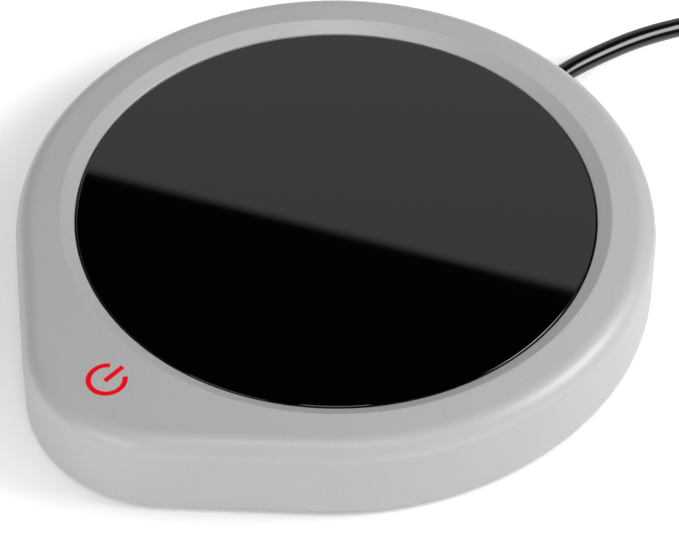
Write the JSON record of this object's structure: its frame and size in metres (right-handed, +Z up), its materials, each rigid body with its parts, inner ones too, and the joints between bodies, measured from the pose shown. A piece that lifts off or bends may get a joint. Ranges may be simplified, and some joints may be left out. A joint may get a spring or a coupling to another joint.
{
  "type": "electric mug warmer",
  "caption": "Teardrop mug warmer with a round black glass hot plate that sinks under a mug and presses a switch, a lit power sign in the tip and a mains cord.",
  "frame": {"origin": "centre of the casing's footprint, on the surface that the feet stand on", "axes": "+Z up, +Y towards the cord at the back, -Y towards the tip with the power sign"},
  "size_m": [0.1736, 0.223, 0.0178],
  "materials": {
    "casing": "satin fine-grained moulded plastic, silver grey",
    "base_plastic": "fine-grained moulded plastic, dark grey",
    "foot_rubber": "moulded rubber",
    "black_glass": "polished black tempered glass, opaque",
    "silicone": "grey silicone rubber",
    "spreader_aluminium": "rolled sheet",
    "track_foil": "etched foil",
    "insulation_fibre": "needled glass fibre",
    "tray_plastic": "heat-proof moulded plastic",
    "component_plastic": "moulded black plastic",
    "plunger_plastic": "ivory plastic",
    "board_laminate": "green-coated glass laminate",
    "capacitor_plastic": "yellow plastic box",
    "fuse_ceramic": "white ceramic",
    "led_lens": "red clear lens",
    "sign_red": "red light-guide plastic",
    "spring_steel": "drawn spring steel",
    "screw_steel": "zinc-plated steel",
    "cord_sheath": "glossy extruded black vinyl",
    "plug_plastic": "moulded black vinyl",
    "blade_brass": "stamped brass",
    "tie_strap": "black strap",
    "live_insulation": "brown vinyl",
    "neutral_insulation": "blue vinyl",
    "lead_silicone": "white silicone"
  },
  "bodies": {
    "root": {"base_cover": "base_plastic", "board_screws": "screw_steel", "case_screws": "screw_steel", "circuit_board": "board_laminate", "clamp_screws": "screw_steel", "control_chip": "component_plastic", "cord_bush": "cord_sheath", "cord_clamp": "base_plastic", "cord_coil": "cord_sheath", "cord_inside": "cord_sheath", "cord_lead": "cord_sheath", "cord_tail": "cord_sheath", "cord_tie": "tie_strap", "dropper_capacitor": "capacitor_plastic", "foot_back_left": "foot_rubber", "foot_back_right": "foot_rubber", "foot_front_left": "foot_rubber", "foot_front_right": "foot_rubber", "heater_lead_left": "lead_silicone", "heater_lead_right": "lead_silicone", "indicator_led": "led_lens", "live_wire": "live_insulation", "neutral_wire": "neutral_insulation", "plug_blade_left": "blade_brass", "plug_blade_right": "blade_brass", "plug_body": "plug_plastic", "plug_relief": "cord_sheath", "power_fuse": "fuse_ceramic", "power_symbol": "sign_red", "smoothing_capacitor": "component_plastic", "spring_front": "spring_steel", "spring_left": "spring_steel", "spring_right": "spring_steel", "switch_case": "component_plastic", "triac": "component_plastic", "upper_shell": "casing"},
    "plate": {"glass_plate": "black_glass", "plate_gasket": "silicone", "heat_spreader": "spreader_aluminium", "heating_track": "track_foil", "heater_pad": "silicone", "insulation_pad": "insulation_fibre", "plate_tray": "tray_plastic", "thermostat": "component_plastic", "thermostat_strap": "spring_steel", "strap_screws": "screw_steel"},
    "plunger": {"switch_plunger": "plunger_plastic"}
  },
  "joints": [
    {"name": "plate_press", "type": "slide", "parent": "root", "child": "plate", "axis": [0, 0, -1], "range_m": [0, 0.0008], "stiffness_N_per_m": 600, "springref_m": -0.004, "deforming": ["spring_left", "spring_right", "spring_front", "heater_lead_left", "heater_lead_right"]},
    {"name": "plunger_press", "type": "slide", "parent": "root", "child": "plunger", "axis": [0, 0, -1], "range_m": [0, 0.0008]}
  ],
  "couplings": [
    {"joint": "plunger_press", "follows": "plate_press", "ratio": 1}
  ]
}
